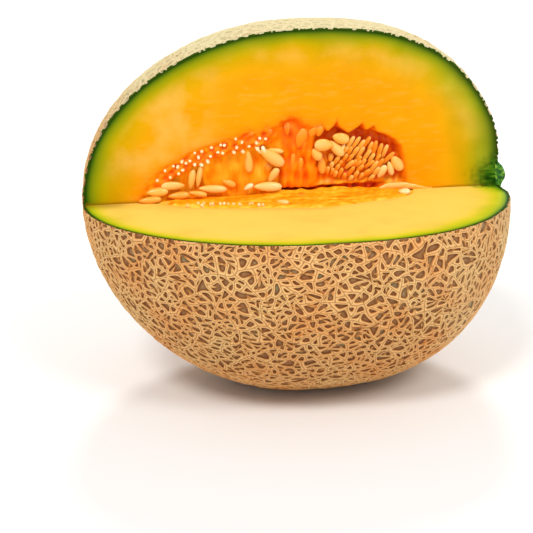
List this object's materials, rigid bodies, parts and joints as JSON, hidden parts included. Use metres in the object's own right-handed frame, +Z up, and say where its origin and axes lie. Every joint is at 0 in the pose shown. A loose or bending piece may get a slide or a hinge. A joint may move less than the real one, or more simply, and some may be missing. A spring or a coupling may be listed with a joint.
{
  "type": "netted melon with a wedge cut out",
  "caption": "Netted orange-fleshed melon lying on its side, one wedge cut out, seed cavity with pulp and seeds open.",
  "frame": {"origin": "centre of the bounding box's bottom, where the melon rests", "axes": "+X along the melon to its stem end, -Y toward the missing wedge, +Z up"},
  "size_m": [0.1647, 0.144, 0.1419],
  "materials": {
    "rind": "dry tan cork net over grey-green skin",
    "flesh": "moist orange flesh, green under the rind",
    "seed_bed": "wet orange pulp with cream seeds"
  },
  "bodies": {
    "root": {"rind": "rind", "flesh": "flesh", "upper_seed_bed": "seed_bed", "lower_seed_bed": "seed_bed"}
  },
  "joints": []
}
